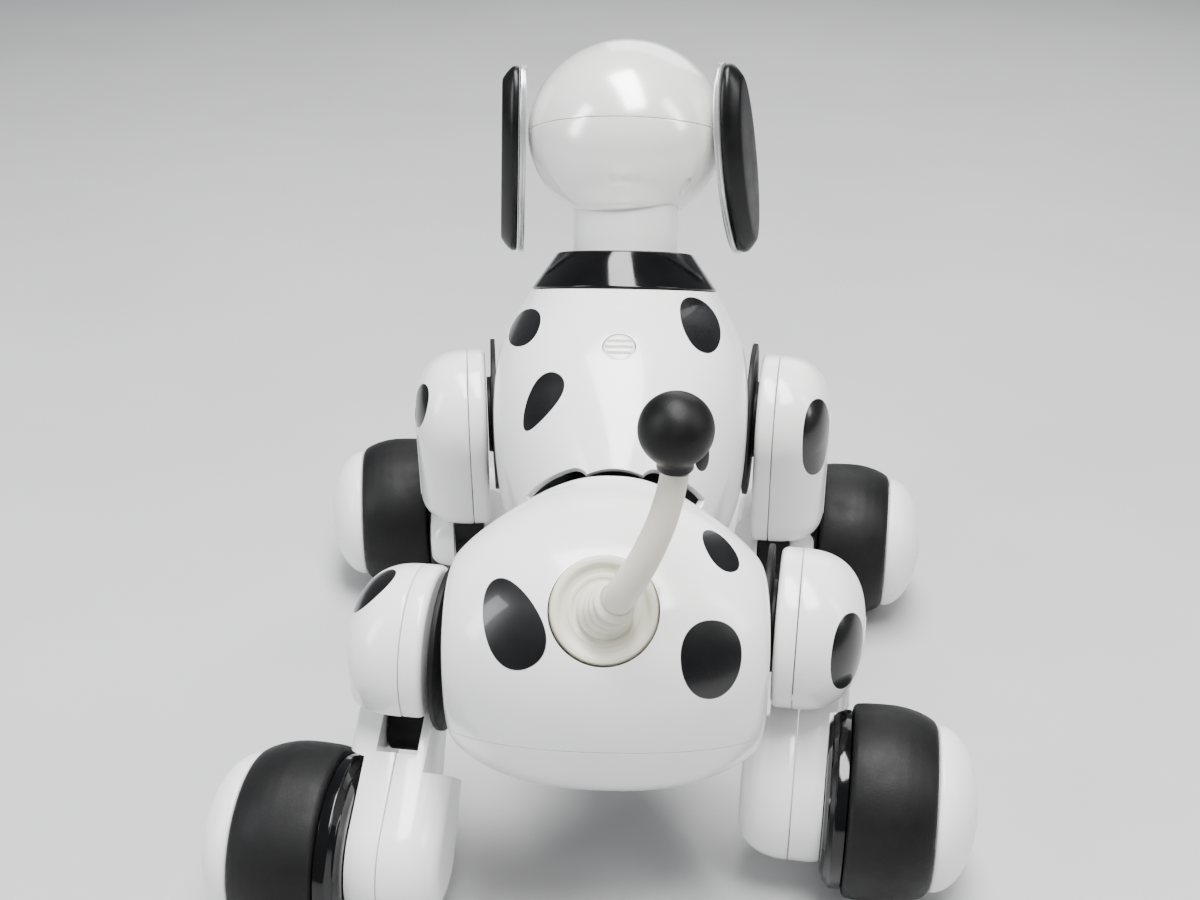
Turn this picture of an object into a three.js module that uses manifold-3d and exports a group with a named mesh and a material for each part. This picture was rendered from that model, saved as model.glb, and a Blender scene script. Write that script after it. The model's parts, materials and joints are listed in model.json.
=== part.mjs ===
// Robot dog toy with wheeled feet: a two-part body on a waist, a turning head with
// swinging ears, a rubber tail, and four legs with hip, knee and wheel joints.
// Millimetres. +X is the dog's right, +Y its nose, +Z up; z = 0 is under the tyres.
import * as THREE from "three";
import { mergeVertices } from "three/addons/utils/BufferGeometryUtils.js";
import Module from "manifold-3d";

const wasm = await Module();
wasm.setup();

// ---------------------------------------------------------------- driving dimensions
const ORIGIN = new THREE.Vector3(0.811, -5.445, 0); // moves the bounding box centre over 0, 0
const GAP = 0.3; // clearance between touching pieces
const ROUND = 24; // facets round a wheel, pod or body
const BODY_COLUMNS = 28; // facets round the body
const SIDE = 43; // body centre line to its flat side

// Body rails: points (y, z) of a cubic curve along the back and along the belly
const CHEST_TOP = [[-24, 110], [-2, 127], [15, 137], [37.1, 141.8]];
const CHEST_BELLY = [[-22, 50], [10, 30], [106, 26], [94.9, 116.7]];
const CHEST_HALF = [22.5, 37, 58, 31.5];
const CHEST_POWER = [2.0, 2.7, 2.7, 2.0];
const RUMP_TOP = [[-41, 117], [-66, 134], [-115, 125], [-115, 86]];
const RUMP_BELLY = [[-41, 52], [-62, 43], [-115, 40], [-115, 86]];
const RUMP_HALF = [24, 58, 63, 0];
const RUMP_POWER = [2.1, 2.7, 2.6, 2.1];
const WALL = 2; // shell thickness
const WAIST = { outer: 20, wall: 2, height: 1.32, from: -54, to: -10, z: 80.5 };
const BATTERY = { x: 34, y: 30, z: 22, at_y: -78, at_z: 68 };
const DOOR = { x: 38, y: 30, at_y: -76 };
const CHEST_SEAM = { y: 30, z: 74, tilt: 14 }; // point on the split plane and its tilt
const RUMP_SEAM = { y: -85, z: 68, tilt: -20 };

// Neck, collar and head
const NECK_LEAN = 23.5; // degrees forward from upright
const COLLAR_BASE = new THREE.Vector3(0, 66, 129.2);
const COLLAR = { low: 31.3, high: 22.9, bore: 19, height: 12.8 };
const NECK = { radius: 17.6, below: 16, bend: 14, straighten: 15, above: 46 };
const HEAD_TURN = -7; // degrees about the neck, the pose it stands in
const HEAD = { x: -0.6, y: 90, z: 177.5, rx: 33.4, ry: 34, rz: 30.5 };
const HEAD_SEAM = { y: 90, z: 176, tilt: -27 };
const MUZZLE = { ahead: 16, below: 16, rx: 26, ry: 27, rz: 18.5 };
const VISOR = { ahead: 20, above: 10, rx: 23, ry: 24, rz: 12 };
const NOSE = { ahead: 42.5, below: 9, rx: 6, ry: 4.5, rz: 4 };
const EAR = { x: 34.4, back: 6, below: 8, half_y: 13, half_z: 32.6, rim: 2.2, pad: 6,
  splay: 12, flare: 5 };

// Tail
const FLANGE = { y: -98.5, z: 110.5, rise: 35, radius: 13.8, depth: 3, bore: 5.8 };
const TAIL_PATH = [[0, 1.5, -1], [2, -15, 10], [14, -14, 26], [16.5, -11, 46]];
const TAIL = { root: 4.4, tip: 3.3, ball: 8.75 };

// Legs, in a leg's own frame: x outward from the body side, y forward, z up
const HIP = { disc: 1.9, hub: 13, hub_end: 3.6, axle: 4, bore: 4.4 };
const POD = { inner: 3.9, seam: 9.9, dome: 18.5, round: 2 };
const FOOT = { inner: -4, outer: 26, middle: 12, wheel_r: 19, knee_r: 10.5, arch: 27.6 };
const FOOT_SLOT = { half: 5.7, deep: 8.5, hip_room: 13 };
const KNEE_BLOCK = { half: 5.2, eye: 6.5 };
const WHEEL = { radius: 28, hub: 21, tyre: 27.5, cap: 51.5, end: 64.5, axle: 3 };
const LEGS = [
  { name: "front_right", side: 1, y: 54, z: 88, toe: 7, thigh: -5, front: true },
  { name: "front_left", side: -1, y: 54, z: 88, toe: 7, thigh: 9, front: true },
  { name: "rear_right", side: 1, y: -57, z: 79, toe: 7, thigh: 24, front: false },
  { name: "rear_left", side: -1, y: -69, z: 77, toe: -6, thigh: -14, front: false },
];
const FRONT = { upper: 22.5, lower: 14.5, drop: 30, cut: 43, thigh: 55, shin: 31, disc: 26 };
const REAR = { upper: 22.5, lower: 19, drop: 6, cut: 14, thigh: 25, shin: 34.5, disc: 23 };

// ---------------------------------------------------------------- materials
const plastic = (color, roughness) =>
  new THREE.MeshStandardMaterial({ color, roughness, metalness: 0 });
const WHITE = plastic(0xe9e9e6, 0.22);
const PEARL = plastic(0xe2e1dc, 0.18);
const GLOSS_BLACK = plastic(0x0b0b0c, 0.18);
const MATT_BLACK = plastic(0x141415, 0.6);
const DARK_GREY = plastic(0x3a3b3c, 0.65);
const TYRE_RUBBER = plastic(0x17181a, 0.75);
const CREAM_RUBBER = plastic(0xd8d6c4, 0.55);
const BOARD_GREEN = plastic(0x1d5b3a, 0.5);
const SILVER = new THREE.MeshStandardMaterial({
  color: 0xb9bbbd, roughness: 0.3, metalness: 0.8,
});

// ---------------------------------------------------------------- geometry helpers
const rad = THREE.MathUtils.degToRad;

// Closed geometry as a solid, its faces turned to point outward
function solid(geometry) {
  const bare = geometry.clone();
  bare.deleteAttribute("normal");
  bare.deleteAttribute("uv");
  const merged = mergeVertices(bare, 1e-4);
  const vertProperties = new Float32Array(merged.attributes.position.array);
  const triVerts = new Uint32Array(merged.index.array);
  const make = () => new wasm.Manifold(new wasm.Mesh({ numProp: 3, vertProperties, triVerts }));
  const made = make();
  if (made.volume() > 0) return made;
  for (let i = 0; i < triVerts.length; i += 3) {
    [triVerts[i + 1], triVerts[i + 2]] = [triVerts[i + 2], triVerts[i + 1]];
  }
  return make();
}

function toGeometry(manifold) {
  const mesh = manifold.getMesh();
  const geometry = new THREE.BufferGeometry();
  const xyz = new Float32Array(mesh.vertProperties);
  geometry.setAttribute("position", new THREE.BufferAttribute(xyz, 3));
  geometry.setIndex(new THREE.BufferAttribute(new Uint32Array(mesh.triVerts), 1));
  const flat = geometry.toNonIndexed();
  flat.computeVertexNormals();
  return flat;
}

function put(group, name, shape, material) {
  const geometry = shape.isBufferGeometry ? shape : toGeometry(shape);
  const mesh = new THREE.Mesh(geometry, material);
  mesh.name = name;
  group.add(mesh);
}

function cubic(points, s) {
  const r = 1 - s;
  const w = [r * r * r, 3 * r * r * s, 3 * r * s * s, s * s * s];
  if (!Array.isArray(points[0])) return points.reduce((sum, p, i) => sum + p * w[i], 0);
  return points[0].map((_, k) => points.reduce((sum, p, i) => sum + p[k] * w[i], 0));
}

const spow = (v, e) => Math.sign(v) * Math.pow(Math.abs(v), e);

// Flattens a half-width softly where it nears the body's flat side
function sideFlat(x) {
  const start = SIDE - 4;
  const over = Math.abs(x) - start;
  return over > 0 ? Math.sign(x) * (start + 4 * (1 - Math.exp(-over / 4))) : x;
}

// Closed skin over rings of points; a ring of one point closes an end in a tip
function skin(rings) {
  const xyz = [];
  const index = [];
  const starts = rings.map((ring) => {
    const first = xyz.length / 3;
    ring.forEach((p) => xyz.push(...p));
    return first;
  });
  for (let i = 0; i + 1 < rings.length; i++) {
    const [a, b] = [rings[i], rings[i + 1]];
    const n = Math.max(a.length, b.length);
    for (let j = 0; j < n; j++) {
      const k = (j + 1) % n;
      const a0 = starts[i] + (a.length > 1 ? j : 0);
      const a1 = starts[i] + (a.length > 1 ? k : 0);
      const b0 = starts[i + 1] + (b.length > 1 ? j : 0);
      const b1 = starts[i + 1] + (b.length > 1 ? k : 0);
      if (a.length > 1) index.push(a0, a1, b1);
      if (b.length > 1) index.push(a0, b1, b0);
    }
  }
  const geometry = new THREE.BufferGeometry();
  geometry.setAttribute("position", new THREE.Float32BufferAttribute(xyz, 3));
  geometry.setIndex(index);
  return solid(geometry);
}

const middle = (ring) =>
  ring[0].map((_, k) => ring.reduce((sum, p) => sum + p[k], 0) / ring.length);

// Body form: superellipse rings stretched between a back rail and a belly rail
function body(top, belly, half, power, rows, pointed) {
  const rings = [];
  for (let i = 0; i <= rows; i++) {
    const s = i / rows;
    const [t, b] = [cubic(top, s), cubic(belly, s)];
    const [a, e] = [cubic(half, s), 2 / cubic(power, s)];
    if (pointed && i === rows) {
      rings.push([[0, t[0], t[1]]]);
      break;
    }
    const ring = [];
    for (let j = 0; j < BODY_COLUMNS; j++) {
      const angle = (2 * Math.PI * (j + 0.5)) / BODY_COLUMNS;
      const up = spow(Math.sin(angle), e);
      const x = sideFlat(a * spow(Math.cos(angle), e));
      ring.push([x, ...t.map((_, k) => (t[k] + b[k] + (t[k] - b[k]) * up) / 2)]);
    }
    rings.push(ring);
  }
  rings.unshift([middle(rings[0])]);
  if (!pointed) rings.push([middle(rings[rings.length - 1])]);
  return skin(rings);
}

function moved(shape, x, y, z, rx = 0, ry = 0, rz = 0) {
  const m = new THREE.Matrix4().makeRotationFromEuler(
    new THREE.Euler(rad(rx), rad(ry), rad(rz), "ZYX"),
  );
  m.setPosition(x, y, z);
  return shape.transform(m.elements);
}

const block = (x, y, z) => solid(new THREE.BoxGeometry(x, y, z));
const ball = (rx, ry, rz, rows = 12) =>
  solid(new THREE.SphereGeometry(1, ROUND, rows)).scale([rx, ry, rz]);

// Turned form from [radius, along] points that start and end on the axis
function turned(profile, along = "z", facets = ROUND) {
  const points = profile.map(([r, h]) => new THREE.Vector2(r, h));
  const lathe = new THREE.LatheGeometry(points, facets);
  if (along === "x") lathe.rotateY(Math.PI / facets).rotateZ(-Math.PI / 2);
  if (along === "z") lathe.rotateX(Math.PI / 2);
  return solid(lathe);
}

const rod = (r, from, to, along, facets = ROUND) =>
  turned([[0, from], [r, from], [r, to], [0, to]], along, facets);

// Splits a shape by a plane through (y, z) tilted about X, leaving the gap open
function split(shape, plane) {
  const big = 400;
  const cutter = (sign) =>
    moved(block(big, big, big).translate([0, 0, sign * (big / 2 + GAP / 2)]),
      0, plane.y, plane.z, plane.tilt);
  return [shape.intersect(cutter(1)), shape.intersect(cutter(-1))];
}

// ---------------------------------------------------------------- body shells
const neckTilt = (shape) =>
  moved(shape, COLLAR_BASE.x, COLLAR_BASE.y, COLLAR_BASE.z, -NECK_LEAN);

function shrunk(shape, wall) {
  const { min, max } = shape.boundingBox();
  const centre = min.map((v, k) => (v + max[k]) / 2);
  const scale = min.map((v, k) => 1 - (2 * wall) / (max[k] - v));
  return shape.translate(centre.map((c) => -c)).scale(scale).translate(centre);
}

function hipBores(shape) {
  let cut = shape;
  for (const leg of LEGS) {
    const bore = rod(HIP.bore, -12, 6, "x", 16).scale([leg.side, 1, 1]);
    cut = cut.subtract(
      moved(bore, leg.side * SIDE, leg.y, leg.z, 0, 0, -leg.side * leg.toe),
    );
  }
  return cut;
}

// Room for the hip discs where the body is rounder than they are
function hipSeats(shape) {
  let cut = shape;
  for (const leg of LEGS) {
    const size = (leg.front ? FRONT : REAR).disc + 0.6;
    const seat = rod(size, 0, 30, "x").scale([leg.side, 1, 1]);
    cut = cut.subtract(
      moved(seat, leg.side * SIDE, leg.y, leg.z, 0, 0, -leg.side * leg.toe),
    );
  }
  return cut;
}

const waistRoom = () => {
  const room = rod(WAIST.outer + GAP, WAIST.from - GAP, WAIST.to + GAP, "y");
  return moved(room.scale([1, 1, WAIST.height]), 0, 0, WAIST.z);
};

function chest(group) {
  const outer = body(CHEST_TOP, CHEST_BELLY, CHEST_HALF, CHEST_POWER, 10, false);
  const notch = rod(5.5, -20, 20, "z", 12).add(block(26, 11, 40).translate([13, 0, 0]));
  let shell = outer.subtract(shrunk(outer, WALL));
  shell = shell.subtract(neckTilt(rod(COLLAR.bore + 1, -30, 20)));
  shell = shell.subtract(waistRoom());
  for (const side of [-1, 1]) {
    shell = shell.subtract(moved(notch.scale([side, 1, 1]), side * 13, -27, 108, 30));
  }
  shell = shell.subtract(moved(rod(5.2, -6, 6, "z", 16), 0, 12.5, 132, 28));
  shell = hipBores(hipSeats(shell));
  const [upper, lower] = split(shell, CHEST_SEAM);
  put(group, "chest_upper_shell", upper, WHITE);
  put(group, "chest_lower_shell", lower, WHITE);
}

function rump(group) {
  const outer = body(RUMP_TOP, RUMP_BELLY, RUMP_HALF, RUMP_POWER, 10, true);
  let shell = outer.subtract(shrunk(outer, WALL).translate([0, WALL + 1, 0]));
  shell = shell.subtract(waistRoom());
  shell = shell.subtract(atFlange(rod(FLANGE.radius + GAP, -1.2, 30, "z")));
  shell = shell.subtract(atFlange(rod(FLANGE.bore + 0.6, -12, 30, "z", 16)));
  const hatch = (grow) => moved(block(DOOR.x + grow, DOOR.y + grow, 40), 0, DOOR.at_y, 36);
  put(group, "battery_door", shell.intersect(hatch(0)), WHITE);
  shell = shell.subtract(hatch(2 * GAP));
  shell = hipBores(hipSeats(shell));
  const [upper, lower] = split(shell, RUMP_SEAM);
  put(group, "rump_upper_shell", upper, WHITE);
  put(group, "rump_lower_shell", lower, WHITE);
}

function waist(group) {
  const { outer, wall, height, from, to, z } = WAIST;
  const tube = [[outer - wall, from], [outer, from], [outer, to], [outer - wall, to],
    [outer - wall, from]];
  const sleeve = turned(tube, "y").scale([1, 1, height]);
  put(group, "waist_sleeve", moved(sleeve, 0, 0, z), DARK_GREY);
}

function backVent(group) {
  let vent = rod(4.9, -3, 0.8, "z", 16);
  for (const y of [-2.4, 0, 2.4]) {
    vent = vent.subtract(moved(block(12, 0.9, 1.2), 0, y, 0.8));
  }
  put(group, "back_vent", moved(vent, 0, 12.5, 132, 28), WHITE);
}

function inside(group) {
  const pack = block(BATTERY.x, BATTERY.y, BATTERY.z);
  put(group, "battery_pack", moved(pack, 0, BATTERY.at_y, BATTERY.at_z), DARK_GREY);
  put(group, "circuit_board", moved(block(44, 50, 1.6), 0, 48, 82), BOARD_GREEN);
}

// ---------------------------------------------------------------- head and neck
function collar(group) {
  const { low, high, bore, height } = COLLAR;
  const ring = [[bore, GAP], [low, GAP], [high, height], [bore, height], [bore, GAP]];
  put(group, "neck_collar", neckTilt(turned(ring)), GLOSS_BLACK);
}

// An ellipsoid of the head, set off from the head's centre and grown by a margin
const headBall = ({ ahead = 0, above = 0, below = 0, rx, ry, rz }, grow = 0, rows = 10) =>
  moved(ball(rx + grow, ry + grow, rz + grow, rows),
    HEAD.x, HEAD.y + ahead, HEAD.z + above - below);

const SKULL = { rx: HEAD.rx, ry: HEAD.ry, rz: HEAD.rz };

const turnHead = (shape) => {
  const [x, y, z] = COLLAR_BASE.toArray();
  const centred = moved(shape, 0, 0, 0).translate([-x, -y, -z]);
  const upright = moved(centred, 0, 0, 0, NECK_LEAN);
  return neckTilt(moved(upright, 0, 0, 0, 0, 0, HEAD_TURN));
};

// Neck that leans with the collar and straightens up towards the head
function neckForm(grow) {
  const { radius, below, bend, straighten, above } = NECK;
  const lower = rod(radius + grow, -below - grow, bend);
  const upper = rod(radius + grow, 0, above - bend + grow).add(ball(radius + grow, radius + grow, 8));
  return lower.add(moved(upper, 0, 0, bend, straighten));
}

// Plain dark window across the front of the head, a band over the muzzle
function head(group) {
  const neckSpace = neckTilt(neckForm(GAP));
  const hollow = headBall(SKULL, -2.5);
  const window = headBall(VISOR).subtract(headBall(MUZZLE, GAP));
  const panel = headBall(SKULL, 0.5, 12).intersect(window).subtract(headBall(SKULL, -2, 12));
  const windowRoom = headBall(VISOR, GAP).subtract(headBall(MUZZLE));
  const shell = headBall(SKULL, 0, 12).add(headBall(MUZZLE)).subtract(hollow)
    .subtract(neckSpace).subtract(windowRoom).subtract(headBall(NOSE, GAP, 8));
  const [upper, lower] = split(shell, HEAD_SEAM);
  put(group, "head_upper_shell", turnHead(upper), PEARL);
  put(group, "head_lower_shell", turnHead(lower), PEARL);
  put(group, "face_visor", turnHead(panel), GLOSS_BLACK);
  put(group, "nose_tip", turnHead(headBall(NOSE, 0, 8)), GLOSS_BLACK);
  put(group, "neck_tube", turnHead(neckTilt(neckForm(0))), WHITE);
}

function ears(group) {
  for (const [side, word] of [[1, "right"], [-1, "left"]]) {
    const slab = (grow, from, to) => {
      const disc = rod(1, from, to, "x").scale([side, EAR.half_y + grow, EAR.half_z + grow]);
      return turnHead(moved(disc, HEAD.x + side * EAR.x, HEAD.y - EAR.back, HEAD.z - EAR.below,
        0, -side * EAR.flare, -side * EAR.splay));
    };
    put(group, `ear_rim_${word}`, slab(0, 0, EAR.rim), SILVER);
    put(group, `ear_pad_${word}`, slab(-1, EAR.rim + GAP, EAR.rim + EAR.pad), MATT_BLACK);
  }
}

// ---------------------------------------------------------------- tail
function atFlange(shape) {
  return moved(shape, 0, FLANGE.y, FLANGE.z, 90 - FLANGE.rise);
}

function tail(group) {
  const { radius, depth, bore } = FLANGE;
  const cup = [[bore, -0.9], [radius, -0.9], [radius, depth], [radius - 2, depth],
    [radius - 3.2, 1.6], [bore, 1.6], [bore, -0.9]];
  put(group, "tail_flange", atFlange(turned(cup)), CREAM_RUBBER);
  const rings = [];
  const steps = 10;
  const frame = new THREE.Vector3();
  for (let i = 0; i <= steps; i++) {
    const s = i / steps;
    const at = new THREE.Vector3(...cubic(TAIL_PATH, s));
    frame.set(...cubic(TAIL_PATH, Math.min(1, s + 0.01)))
      .sub(new THREE.Vector3(...cubic(TAIL_PATH, Math.max(0, s - 0.01)))).normalize();
    const across = new THREE.Vector3(1, 0, 0).addScaledVector(frame, -frame.x).normalize();
    const other = frame.clone().cross(across);
    const r = TAIL.root + (TAIL.tip - TAIL.root) * s;
    const ring = [];
    for (let j = 0; j < 12; j++) {
      const a = (2 * Math.PI * j) / 12;
      ring.push(at.clone().addScaledVector(across, r * Math.cos(a))
        .addScaledVector(other, r * Math.sin(a)).toArray());
    }
    rings.push(ring);
  }
  rings.unshift([middle(rings[0])]);
  rings.push([middle(rings[rings.length - 1])]);
  put(group, "tail_stem", moved(skin(rings), 0, FLANGE.y, FLANGE.z), CREAM_RUBBER);
  const tip = new THREE.Vector3(...cubic(TAIL_PATH, 1));
  const bulb = ball(TAIL.ball, TAIL.ball, TAIL.ball).translate([0, 0, TAIL.ball + 2]);
  const neck = rod(TAIL.tip + 1, GAP + 0.6, 5, "z", 12);
  put(group, "tail_ball", moved(bulb.add(neck), tip.x, FLANGE.y + tip.y, FLANGE.z + tip.z),
    MATT_BLACK);
}

// ---------------------------------------------------------------- legs
// Side outline of a pod or foot: the hull of two circles, the second one below
function twoCircles(upper, lower, drop, x, shrink) {
  const ring = [];
  const lean = Math.asin((upper - lower) / drop);
  const half = ROUND / 2;
  const arc = (r, z, from, to) => {
    for (let j = 0; j < half; j++) {
      const a = from + ((to - from) * j) / (half - 1);
      ring.push([x, (r - shrink) * Math.cos(a), z + (r - shrink) * Math.sin(a)]);
    }
  };
  arc(upper, 0, -lean, Math.PI + lean);
  arc(lower, -drop, Math.PI + lean, 2 * Math.PI - lean);
  return ring;
}

function pod(sizes) {
  const { upper, lower, drop } = sizes;
  const ring = (x, shrink) => twoCircles(upper, lower, drop, x, shrink);
  const rows = [ring(POD.inner, POD.round), ring(POD.inner + 1.4, 0.4), ring(POD.seam, 0)];
  for (const s of [0.3, 0.55, 0.76, 0.9, 0.98]) {
    const scale = Math.pow(1 - Math.pow(s, 2.3), 1 / 2.3);
    rows.push(ring(POD.seam + POD.dome * s, lower * 0.98 * (1 - scale)));
  }
  rows.unshift([middle(rows[0])]);
  rows.push([middle(rows[rows.length - 1])]);
  const whole = skin(rows);
  const cut = block(80, 120, 100).translate([0, 0, -50 - sizes.cut]);
  return whole.subtract(cut).subtract(kneeSlotRoom(sizes));
}

const kneeSlotRoom = (sizes) =>
  block(2 * (KNEE_BLOCK.half + GAP), 16 + 2 * GAP, 20)
    .translate([FOOT.middle, 0, -sizes.cut]);

function splitAt(shape, x) {
  const inner = block(200, 400, 400).translate([x - 100 - GAP / 2, 0, 0]);
  const outer = block(200, 400, 400).translate([x + 100 + GAP / 2, 0, 0]);
  return [shape.intersect(inner), shape.intersect(outer)];
}

function foot(shin) {
  const { inner, outer, wheel_r, knee_r } = FOOT;
  const rows = [];
  for (const [x, share] of [[inner, 0.45], [inner + 1.2, 0.62], [inner + 3.5, 0.78],
    [inner + 7, 0.92], [inner + 11, 0.99], [inner + 15, 1], [outer - 8, 1], [outer - 3, 0.93],
    [outer - 0.8, 0.78], [outer, 0.6]]) {
    rows.push(twoCircles(wheel_r * share, knee_r * share, shin, x, 0));
  }
  rows.unshift([middle(rows[0])]);
  rows.push([middle(rows[rows.length - 1])]);
  const arch = rod(FOOT.arch, WHEEL.hub - GAP, 60, "x");
  const bore = rod(WHEEL.axle + GAP, 12.6, 40, "x", 12);
  const slot = block(2 * FOOT_SLOT.half, 60, 60)
    .translate([FOOT.middle, 0, -shin - 30 + FOOT_SLOT.deep]);
  const hipRoom = block(20, 60, 60).translate([POD.inner - 10, 0, -shin - 30 + FOOT_SLOT.hip_room]);
  return skin(rows).subtract(arch).subtract(bore).subtract(slot).subtract(hipRoom);
}

function wheel(group, name) {
  const { radius, hub, tyre, cap, end, axle } = WHEEL;
  const disc = turned([[0, 13], [axle, 13], [axle, hub], [21, hub], [25.5, hub + 3],
    [25.5, tyre - GAP], [22, tyre - GAP], [22, cap - 6], [0, cap - 6]], "x");
  put(group, `wheel_hub_${name}`, disc, GLOSS_BLACK);
  const flat = radius / Math.cos(Math.PI / ROUND); // corner radius that puts a facet at radius
  const tread = turned([[22 + GAP, tyre], [flat - 2.2, tyre], [flat - 0.5, tyre + 2.5],
    [flat, tyre + 7], [flat, cap - 11], [flat - 1.6, cap - 4.5], [flat - 4.4, cap],
    [22 + GAP, cap], [22 + GAP, tyre]], "x");
  put(group, `tyre_${name}`, tread, TYRE_RUBBER);
  const crown = [[0, cap - 6 + GAP], [21.6, cap - 6 + GAP], [21.6, cap + GAP], [23.4, cap + GAP]];
  for (const a of [25, 45, 65]) {
    crown.push([23.4 * Math.cos(rad(a)), cap + GAP + (end - cap - GAP) * Math.sin(rad(a))]);
  }
  crown.push([0, end]);
  put(group, `wheel_cap_${name}`, turned(crown, "x"), WHITE);
}

function leg(group, spec) {
  const sizes = spec.front ? FRONT : REAR;
  const at = new THREE.Group();
  at.position.set(spec.side * SIDE, spec.y, spec.z);
  at.rotation.z = -spec.side * rad(spec.toe);
  at.scale.x = spec.side;
  group.add(at);

  const washer = turned([[HIP.bore, GAP], [sizes.disc, GAP], [sizes.disc, HIP.disc],
    [HIP.hub, HIP.disc + 0.4], [HIP.hub, HIP.hub_end], [HIP.bore, HIP.hub_end],
    [HIP.bore, GAP]], "x");
  put(at, `hip_disc_${spec.name}`, washer, GLOSS_BLACK);

  const thigh = new THREE.Group();
  thigh.rotation.x = rad(spec.thigh);
  at.add(thigh);
  const [podInner, podOuter] = splitAt(pod(sizes), POD.seam);
  const axle = rod(HIP.axle, -8, POD.inner + 2, "x", 16);
  put(thigh, `thigh_inner_${spec.name}`, podInner.add(axle), WHITE);
  put(thigh, `thigh_outer_${spec.name}`, podOuter, WHITE);
  const eye = rod(KNEE_BLOCK.eye, FOOT.middle - KNEE_BLOCK.half,
    FOOT.middle + KNEE_BLOCK.half, "x", 16).translate([0, 0, -sizes.thigh]);
  const tongue = block(2 * KNEE_BLOCK.half, 11, sizes.thigh - sizes.cut + 9)
    .translate([FOOT.middle, 0, -(sizes.thigh + sizes.cut - 9) / 2]);
  put(thigh, `knee_block_${spec.name}`, eye.add(tongue), MATT_BLACK);

  // The shin leans until its wheel stands on the floor
  const kneeHeight = spec.z - sizes.thigh * Math.cos(rad(spec.thigh));
  const lean = Math.acos((kneeHeight - WHEEL.radius) / sizes.shin) * (spec.front ? 1 : -1);
  const shin = new THREE.Group();
  shin.position.set(0, 0, -sizes.thigh);
  shin.rotation.x = lean - rad(spec.thigh);
  thigh.add(shin);
  const ankle = new THREE.Group();
  ankle.position.set(0, 0, -sizes.shin);
  ankle.rotation.x = Math.PI;
  shin.add(ankle);
  const [footInner, footOuter] = splitAt(foot(sizes.shin), FOOT.middle);
  put(ankle, `foot_inner_${spec.name}`, footInner, WHITE);
  put(ankle, `foot_outer_${spec.name}`, footOuter, WHITE);
  const axleFrame = new THREE.Group();
  axleFrame.rotation.x = -lean - Math.PI;
  ankle.add(axleFrame);
  wheel(axleFrame, spec.name);
}

// ---------------------------------------------------------------- assembly
const dog = new THREE.Group();
dog.name = "robot_dog";
const placed = new THREE.Group();
placed.position.copy(ORIGIN);
dog.add(placed);
chest(placed);
rump(placed);
waist(placed);
backVent(placed);
inside(placed);
collar(placed);
head(placed);
ears(placed);
tail(placed);
for (const spec of LEGS) leg(placed, spec);

export default dog;
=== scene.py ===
"""Looks of the robot dog toy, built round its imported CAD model. Lengths in millimetres until mesh() scales them."""
import json

from math import acos, asin, cos, exp, pi, radians, sin

import bmesh
import bpy
import numpy as np
from mathutils import Matrix, Vector


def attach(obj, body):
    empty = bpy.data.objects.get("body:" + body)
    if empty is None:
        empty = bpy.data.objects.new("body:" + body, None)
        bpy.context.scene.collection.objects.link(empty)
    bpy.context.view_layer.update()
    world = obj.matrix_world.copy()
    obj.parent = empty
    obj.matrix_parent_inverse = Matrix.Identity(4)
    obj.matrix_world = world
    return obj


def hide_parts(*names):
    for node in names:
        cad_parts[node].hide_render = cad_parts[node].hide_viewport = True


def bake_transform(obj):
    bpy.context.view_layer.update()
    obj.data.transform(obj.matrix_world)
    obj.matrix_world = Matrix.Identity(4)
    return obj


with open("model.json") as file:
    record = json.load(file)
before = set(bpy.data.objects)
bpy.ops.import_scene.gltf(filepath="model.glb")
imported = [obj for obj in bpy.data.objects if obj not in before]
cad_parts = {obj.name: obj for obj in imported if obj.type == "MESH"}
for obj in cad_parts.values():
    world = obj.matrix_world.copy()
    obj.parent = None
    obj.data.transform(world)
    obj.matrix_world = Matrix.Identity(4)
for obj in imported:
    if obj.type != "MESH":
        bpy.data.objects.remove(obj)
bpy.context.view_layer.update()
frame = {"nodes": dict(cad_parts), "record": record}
JOINT_AT = {j["name"]: np.array(j["pos_m"]) / 0.001 for j in frame["record"]["behaviour"]["joints"]}
MM = 0.001

# ---------------------------------------------------------------- driving dimensions
NECK_LEAN = radians(23.5)
COLLAR_BASE = np.array([0, 66, 129.2])
ORIGIN = JOINT_AT["head_turn"] - COLLAR_BASE  # the design's zero in the part's frame
SIDE = 43.0  # the flat sides of the trunk, where the hips sit
WALL = 1.8  # trunk shells
HEAD_WALL = 2.2
SEAM_GAP = 0.22
# Back rail, belly rail, half width and squareness of each trunk casing, as Bezier points from the waist outwards
CHEST_TOP = [(-24, 110), (-2, 127), (15, 137), (37.1, 141.8)]
CHEST_BELLY = [(-22, 50), (10, 30), (106, 26), (94.9, 116.7)]
CHEST_HALF = [22.5, 37, 58, 31.5]
CHEST_POWER = [2.0, 2.7, 2.7, 2.0]
CHEST_SEAM = (30, 74, radians(14))
RUMP_TOP = [(-41, 117), (-66, 134), (-115, 125), (-115, 86)]
RUMP_BELLY = [(-41, 52), (-62, 43), (-115, 40), (-115, 86)]
RUMP_HALF = [24, 58, 63, 0]
RUMP_POWER = [2.1, 2.7, 2.6, 2.1]
RUMP_SEAM = (-85, 68, radians(-20))
RUMP_WAIST_IN = 4
WAIST = dict(outer=20, wall=2, height=1.32, start=-54, end=-10, z=80.5)
COLLAR_HOLE = 20
NECK_SHAPE = dict(radius=17.6, bend=14, straighten=radians(15))
HEAD_TURN = radians(-7)
HEAD = np.array([-0.6, 90, 177.5])
SKULL = np.array([33.4, 34, 30.5])
MUZZLE = dict(at=np.array([0, 16, -16.0]), size=np.array([26, 27, 18.5]))
HEAD_SEAM = (90, 176, radians(-27))
EAR = dict(x=34.4, back=6, below=8, half_y=13, half_z=32.6, splay=12, flare=5)
FLANGE = dict(y=-98.5, z=110.5, rise=radians(35), radius=13.8, bore=5.8)
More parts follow.
